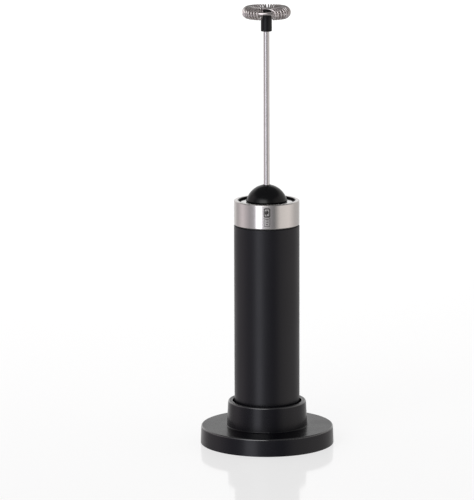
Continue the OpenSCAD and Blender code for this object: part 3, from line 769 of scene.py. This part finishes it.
def solder_drop(end, inner, aside):
    """A drop of solder on a bare end: it swells from the tip and thins out again towards the sheath."""
    along = (inner - end).normalized()
    line = [end + along * LEAD_BARE * 1.1 * k / DROP_STEPS for k in range(DROP_STEPS + 1)]
    swell = [0.12 + 0.88 * sin(pi * (0.12 + 0.8 * k / DROP_STEPS)) for k in range(DROP_STEPS + 1)]
    return swept(line, [aside] * len(line), round_section(LEAD_RADIUS * 0.95, 14), scales=swell)


def make_lead(name, standing_for, route, slot):
    """A lead with its vinyl stripped off at both ends, and a drop of solder on each bare end."""
    path = eased([Vector(p) * MM for p in route])
    aside = Vector((1, 0.2, 0.1))
    sheath = [p for p in path if (p - path[0]).length > LEAD_BARE and (p - path[-1]).length > LEAD_BARE]
    points, faces = round_wire(sheath, [aside] * len(sheath), LEAD_RADIUS)
    make_piece(name + "_sheath", points, faces, [LOOKS[slot]], "head", [standing_for], crease=50)
    core = round_wire(path, [aside] * len(path), LEAD_RADIUS * 0.5, 10)
    drops = [solder_drop(end, inner, aside) for end, inner in ((path[0], path[3]), (path[-1], path[-4]))]
    points, faces = joined([core, *drops])
    make_piece(name + "_solder", points, faces, [LOOKS["contact_steel"]], "head", crease=60)


# ---- Cells ----

CELL_COLOUR = (0.02, 0.10, 0.16)
INK = 0.02 * MM         # thickness of printed ink


def make_cell(number, standing_for, nub_up):
    """A dry cell: foil jacket crimped over both ends, steel base, insulating washer and pressed nub."""
    low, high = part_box(standing_for)
    centre = Vector(((low.x + high.x) / 2, (low.y + high.y) / 2, low.z if nub_up else high.z))
    r = (high.x - low.x) / 2
    length = high.z - low.z
    nub_h, nub_r, nub_edge = 1.3 * MM, 2.7 * MM, 0.35 * MM
    lip, edge = 0.35 * MM, 0.5 * MM
    shoulder = length - nub_h
    outline = [(0, lip)]
    looks = []
    steel, jacket, washer = range(3)

    def go(points, look):
        """Carries the outline on through the given points, its faces there having one look."""
        for point in points:
            outline.append(point)
            looks.append(look)

    go([(r - 1.6 * MM, lip), (r - 1.2 * MM, 0.05 * MM)], steel)
    go(arc(r - edge, edge, edge, 270, 360), jacket)
    go([(r, shoulder * 0.25), (r, shoulder * 0.5), (r, shoulder * 0.75)], jacket)
    go(arc(r - edge, shoulder - edge, edge, 0, 90), jacket)
    go([(r - 1.0 * MM, shoulder - 0.05 * MM), (r - 1.2 * MM, shoulder - lip)], jacket)
    go([(nub_r + 0.6 * MM, shoulder - lip)], washer)
    go([(nub_r + 0.5 * MM, shoulder - 0.1 * MM), (nub_r + 0.05 * MM, shoulder)], steel)
    go(arc(nub_r - nub_edge, length - nub_edge, nub_edge, 0, 90), steel)
    outline.append((0, length))
    looks.append(steel)
    steps = 96
    points, faces = turned(outline, centre, steps)
    if not nub_up:
        points = [Vector((p.x, p.y, 2 * centre.z - p.z)) for p in points]
        faces = [tuple(reversed(face)) for face in faces]
    label = foil_label(f"cell_foil_{number}", CELL_COLOUR, low.z, length, nub_up)
    make_piece(f"cell_{number}", points, faces, [LOOKS["contact_steel"], label, LOOKS["switch_plastic"]],
               "head", [standing_for], crease=40, look_of=looks * steps)
    make_signs(number, centre, r, length, nub_up)


def bar_on_cylinder(centre, r, about, z, width, height):
    """A thin inked bar wrapped on an upright cylinder: its middle is at angle about and height z."""
    steps = 6
    path, asides = [], []
    for k in range(steps + 1):
        a = about + (k / steps - 0.5) * width / r
        out = Vector((cos(a), sin(a), 0))
        asides.append(out)
        path.append(centre + (r + INK / 2) * out + Vector((0, 0, z)))
    return swept(path, asides, flat_section(INK, height))


def make_signs(number, centre, r, length, nub_up):
    """The plus and minus signs printed on a cell."""
    way = 1 if nub_up else -1
    long, stroke = 2.6 * MM, 0.6 * MM
    about = radians(-90 + (-25 if centre.x < 0 else 25))
    plus_z, minus_z = way * length * 0.78, way * length * 0.2
    parts = [bar_on_cylinder(centre, r, about, plus_z, long, stroke),
             bar_on_cylinder(centre, r, about, plus_z, stroke, long),
             bar_on_cylinder(centre, r, about, minus_z, long, stroke)]
    points, faces = joined(parts)
    make_piece(f"cell_{number}_signs", points, faces, [LOOKS["inner_plastic"]], "head")


# ---- Collar mark ----

STROKE_STEP = 0.12 * MM
BOLD, FINE, BAR = 0.5 * MM, 0.2 * MM, 0.34 * MM     # widths of the mark's strokes
MARK_CORNER = 0.4 * MM


def on_cylinder(r, u, v):
    """A point at u across and v up on the front of an upright cylinder."""
    a = u / r - pi / 2
    return Vector((r * cos(a), r * sin(a), v))


def inked(path, r, width, closed=False):
    """A thin flat stroke on the front of an upright cylinder, in steps short enough to follow it."""
    fine = []
    for (u, v), (next_u, next_v) in zip(path, path[1:] + path[:1]):
        cuts = max(1, round(abs(next_u - u) / STROKE_STEP))
        fine += [(u + (next_u - u) * k / cuts, v + (next_v - v) * k / cuts) for k in range(cuts)]
    if not closed:
        fine = fine[:-cuts] + [path[-1]]
    points = [on_cylinder(r + INK / 2, u, v) for u, v in fine]
    asides = [Vector((p.x, p.y, 0)).normalized() for p in points]
    return swept(points, asides, flat_section(INK, width), closed)


def rounded_frame(u, v, half_w, half_h, r):
    """Points of a rectangle with rounded corners."""
    points = []
    for cx, cy, start in ((1, 1, 0), (-1, 1, 90), (-1, -1, 180), (1, -1, 270)):
        points += arc(u + cx * (half_w - r), v + cy * (half_h - r), r, start, start + 90, 5)
    return points


def make_mark():
    """A plain printed mark: a swirl in a frame over a framed stack of short bars."""
    low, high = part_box("collar")
    r = high.x
    middle = (low.z + high.z) / 2
    upper, lower = middle + 2.45 * MM, middle - 2.3 * MM
    swirl = []
    turns, steps = 1.75, 44
    for k in range(steps + 1):
        t = k / steps
        a = 2 * pi * turns * t
        swirl.append((0.95 * MM * t * cos(a), upper + 1.25 * MM * t * sin(a)))
    parts = [inked(rounded_frame(0, upper, 1.4 * MM, 2.0 * MM, MARK_CORNER), r, BOLD, closed=True),
             inked(swirl, r, BOLD),
             inked(rounded_frame(0, lower, 1.45 * MM, 2.2 * MM, MARK_CORNER), r, FINE, closed=True)]
    for row in range(3):
        v = lower + (1 - row) * 1.2 * MM
        reach = (0.85 - 0.2 * row) * MM
        parts.append(inked([(-reach, v), (0, v), (reach, v)], r, BAR))
    points, faces = joined(parts)
    look = Look("mark_ink", (0.012, 0.011, 0.010), 0.45, ior=1.3)
    look.tint(look.noise(0.3 * MM, 3), (0.008, 0.007, 0.006), (0.025, 0.023, 0.02))
    look.vary("Roughness", look.noise(0.5 * MM, 3), 0.35, 0.55)
    make_piece("collar_mark", points, faces, [look.material], "head")


# ---- Motor windings ----

def squared(value):
    """A sine or cosine pushed towards -1 and 1, which turns a circle into a rounded rectangle."""
    return max(-1.0, min(1.0, 1.7 * value - 0.7 * value ** 3))


def make_windings():
    """Two layers of enamelled wire wound on each of the armature's three teeth."""
    low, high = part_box("armature_core")
    middle, half_stack = (low.z + high.z) / 2, (high.z - low.z) / 2
    wire_r = 0.19 * MM
    tooth = 1.15 * MM
    side_room, end_room = 0.02 * MM, 0.06 * MM
    first_x, last_x = 3.3 * MM, 4.6 * MM
    per_layer, steps = 5, 28
    parts = []
    for tooth_number in range(3):
        turn = Matrix.Rotation(2 * pi * tooth_number / 3, 3, "Z")
        path, asides = [], []
        for layer in range(2):
            half_y = tooth + wire_r * (1 + 2 * layer) + side_room
            half_z = half_stack + wire_r * (1 + 2 * layer) + end_room
            for i in range(per_layer * steps + (layer == 1)):
                t = i / (per_layer * steps)
                a = 2 * pi * per_layer * t
                x = first_x + (last_x - first_x) * (t if layer == 0 else 1 - t)
                path.append(turn @ Vector((x, half_y * squared(cos(a)), middle + half_z * squared(sin(a)))))
                asides.append(turn @ Vector((1, 0, 0)))
        parts.append(round_wire(path, asides, wire_r, 8))
    points, faces = joined(parts)
    make_piece("winding_wire", points, faces, [LOOKS["copper"]], "whisk", ["armature_windings"],
               crease=60)


# ---- The whole ----

make_world()
make_floor()
dress_frame()
make_coil()
cells_x = (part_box("battery_right")[0].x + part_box("battery_right")[1].x) / 2
button_spring = make_spring("button_spring_wire", "button_spring", "handle", 0, 4.6 * MM, 3.6 * MM, 3)
make_spring("negative_spring_wire", "negative_spring", "head", -cells_x, 2.9 * MM, 1.8 * MM, 4)
make_spring("link_spring_wire", "link_spring", "head", cells_x, 1.8 * MM, 2.5 * MM, 4)
make_lead("lead_red", "wire_red", RED_ROUTE, "lead_red")
make_lead("lead_black", "wire_black", BLACK_ROUTE, "lead_black")
make_cell(1, "battery_left", True)
make_cell(2, "battery_right", False)
make_mark()
make_windings()

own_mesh(button_spring)
